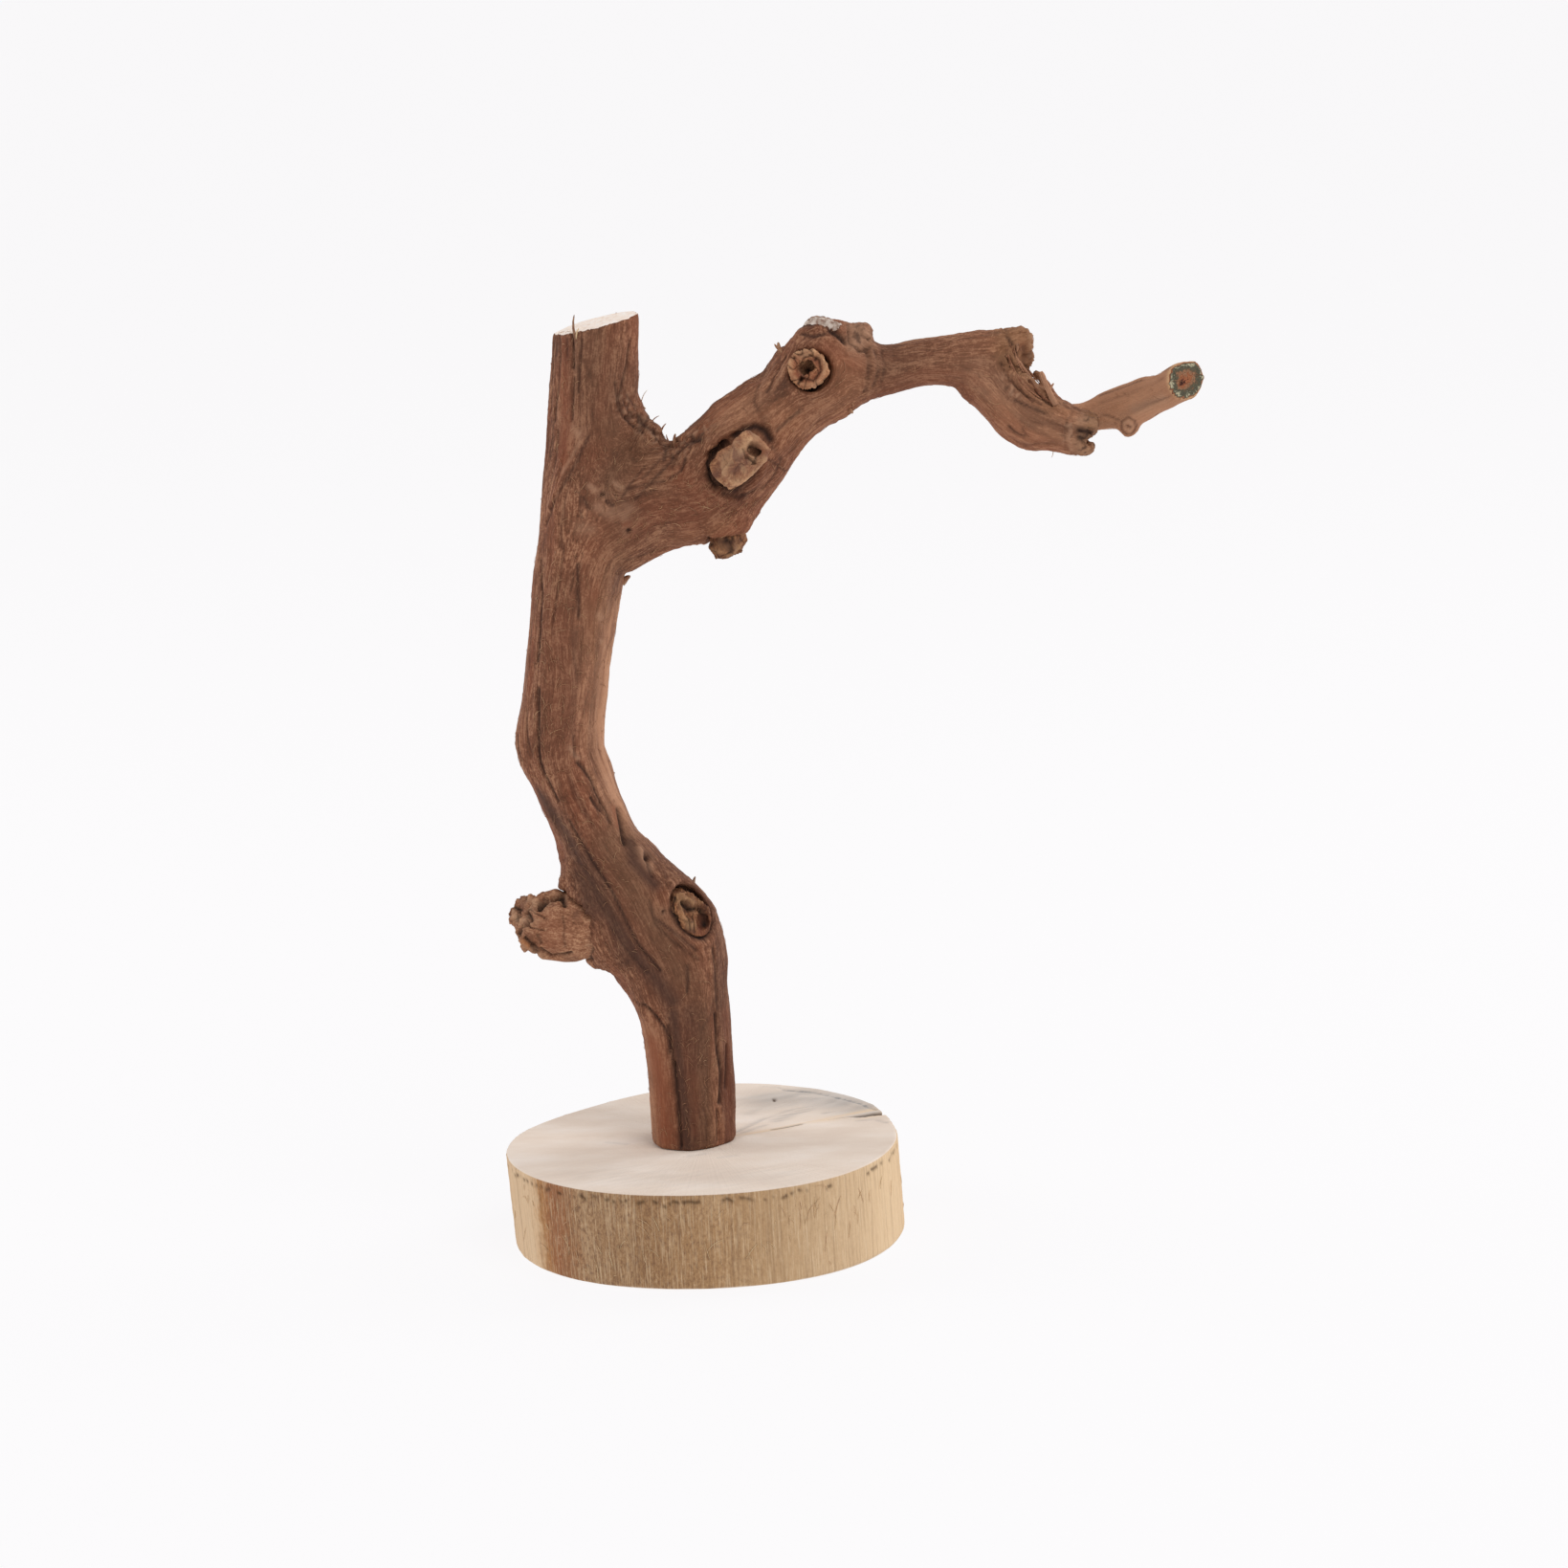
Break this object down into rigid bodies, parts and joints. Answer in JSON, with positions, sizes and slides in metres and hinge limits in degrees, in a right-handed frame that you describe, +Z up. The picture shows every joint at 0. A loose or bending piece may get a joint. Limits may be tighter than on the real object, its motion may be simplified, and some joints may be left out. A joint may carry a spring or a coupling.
{
  "type": "bird perch",
  "caption": "Table-top bird perch: a forked natural branch with a long side arm, screwed upright to a round slice of wood.",
  "frame": {"origin": "centre of the round slice's underside", "axes": "+Z up along the stem, +X along the arm from the fork to the twig's tip, -Y towards the viewer of the picture"},
  "size_m": [0.1566, 0.0856, 0.2018],
  "materials": {
    "slice_wood": "raw sawn end grain, pale cream, with a tan debarked side",
    "branch_wood": "debarked and weathered, reddish brown, matte, with fine lengthwise fibres",
    "dead_wood": "old dead knot wood, grey tan, crumbly and matte",
    "screw_steel": "zinc plated"
  },
  "bodies": {
    "root": {"base_slice": "slice_wood", "branch": "branch_wood", "wood_screw": "screw_steel", "front_stub": "dead_wood", "eye_knot": "dead_wood", "oval_knot": "dead_wood", "arm_nub": "dead_wood", "broken_stub": "dead_wood"}
  },
  "joints": []
}
